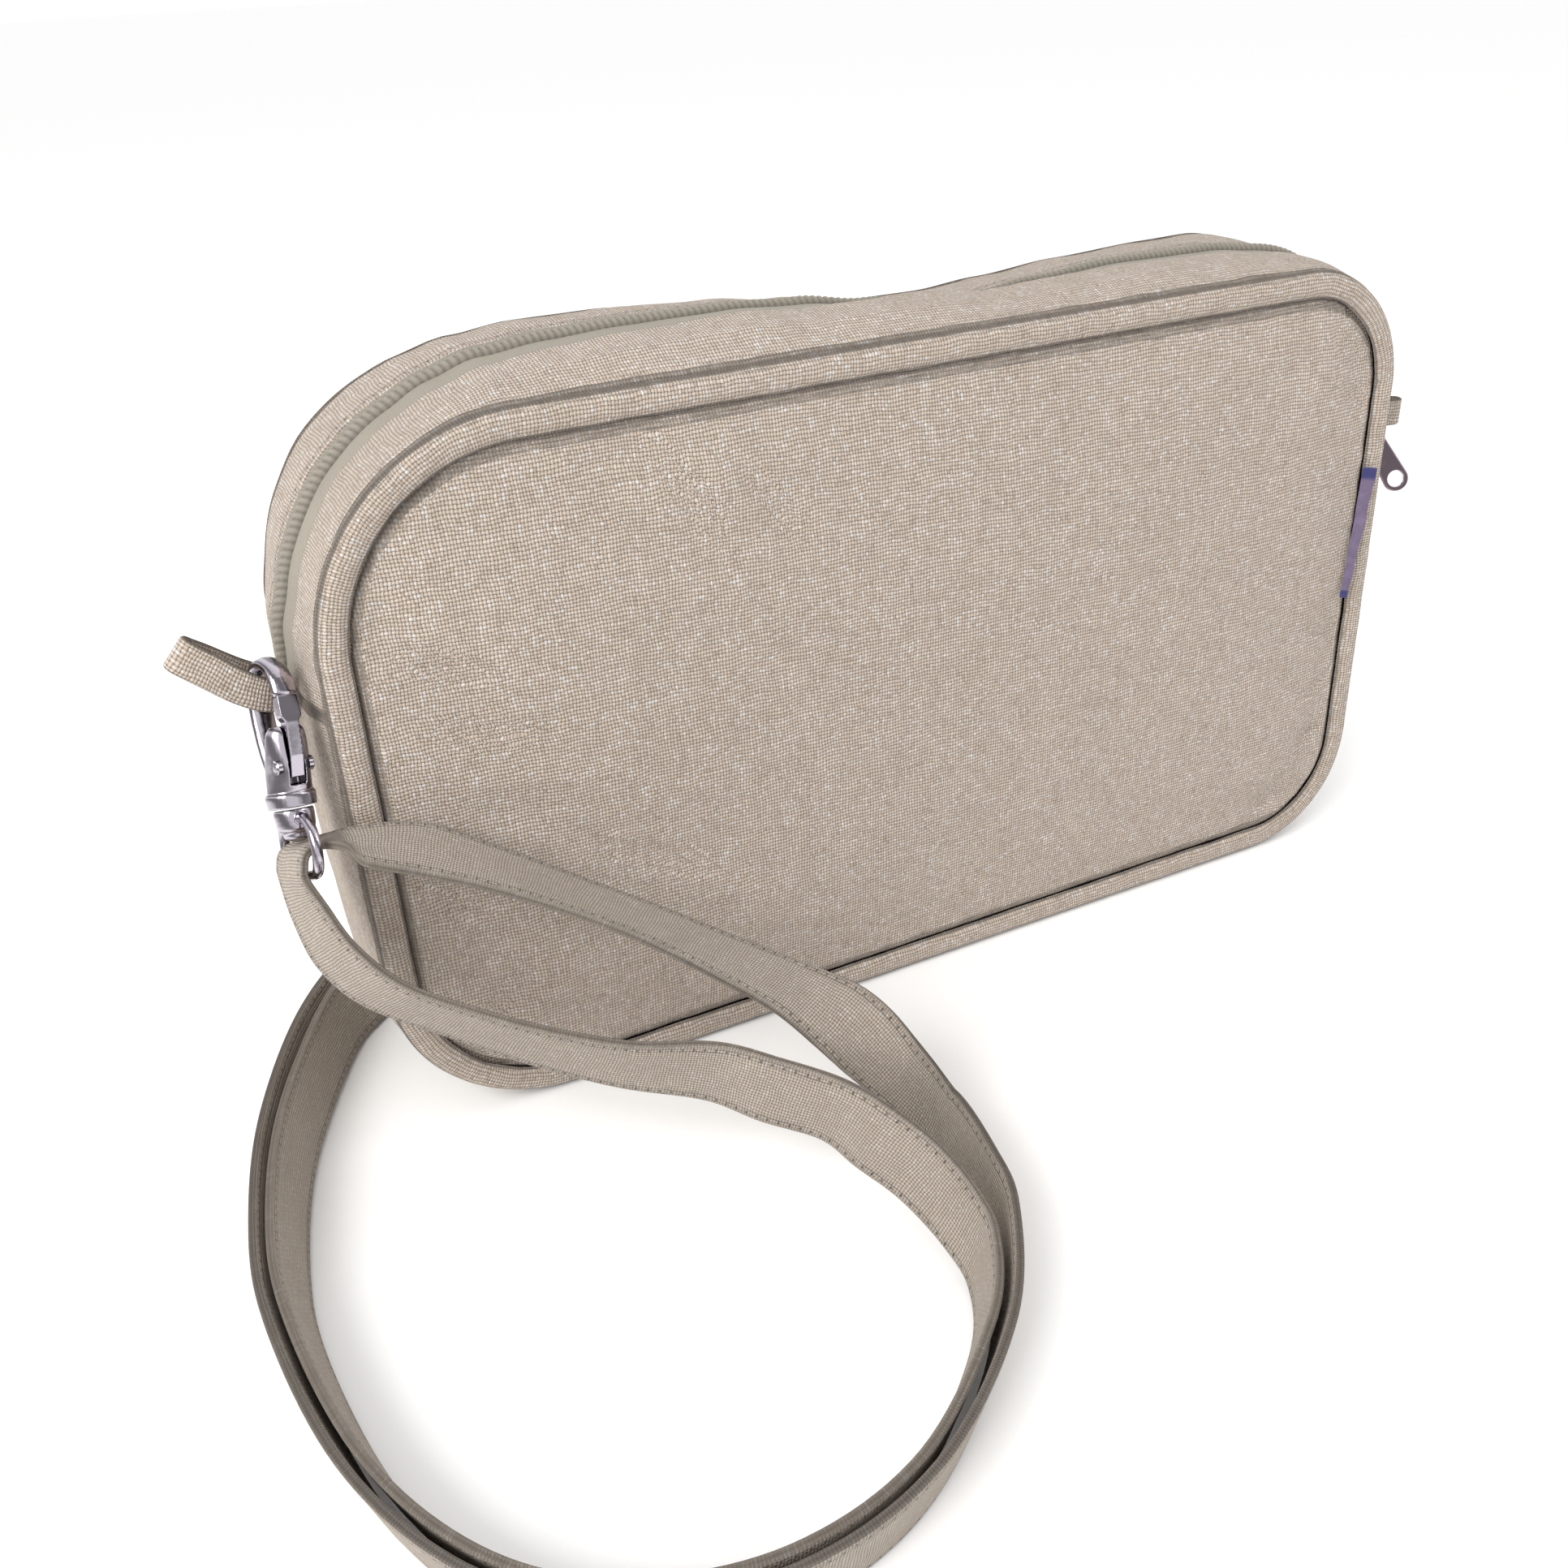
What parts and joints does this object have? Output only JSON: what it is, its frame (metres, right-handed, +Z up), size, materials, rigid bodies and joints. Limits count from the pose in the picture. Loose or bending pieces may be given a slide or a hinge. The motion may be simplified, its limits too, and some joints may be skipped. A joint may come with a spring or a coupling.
{
  "type": "zip-round pouch bag on a clip-on loop strap",
  "caption": "Soft linen pouch with bordered faces and a zip over its top, worn on a long looped strap that hangs from a swivel trigger clip.",
  "frame": {"origin": "middle of the flat base on which the pouch stands", "axes": "+X to the right as seen from the front, -Y to the front, +Z up"},
  "size_m": [0.3778, 0.2634, 0.1846],
  "materials": {
    "linen": "plain weave, matt",
    "zip_tape": "woven tape with a moulded coil",
    "webbing": "fine twill, matt",
    "label": "woven ribbon",
    "chrome": "polished",
    "steel": "satin"
  },
  "bodies": {
    "pouch": {"front_panel": "linen", "back_panel": "linen", "front_welt": "linen", "back_welt": "linen", "zip_band_front": "linen", "zip_band_back": "linen", "bottom_band": "linen", "zip_tape": "zip_tape", "zip_coil": "zip_tape", "zip_slider": "steel", "zip_jump_ring": "steel", "zip_pull": "steel", "strap_tab": "linen", "end_tab": "linen", "side_label": "label", "hook_body": "chrome", "swivel_ring": "chrome", "strap": "webbing"},
    "gate": {"hook_gate": "chrome"}
  },
  "joints": [
    {"name": "gate_hinge", "type": "hinge", "parent": "pouch", "child": "gate", "pos_m": [-0.15903, -0.02486, 0.10646], "axis": [-0.9379, -0.2823, 0.2016], "range_deg": [0, 18], "stiffness_Nm_per_rad": 0.02}
  ]
}
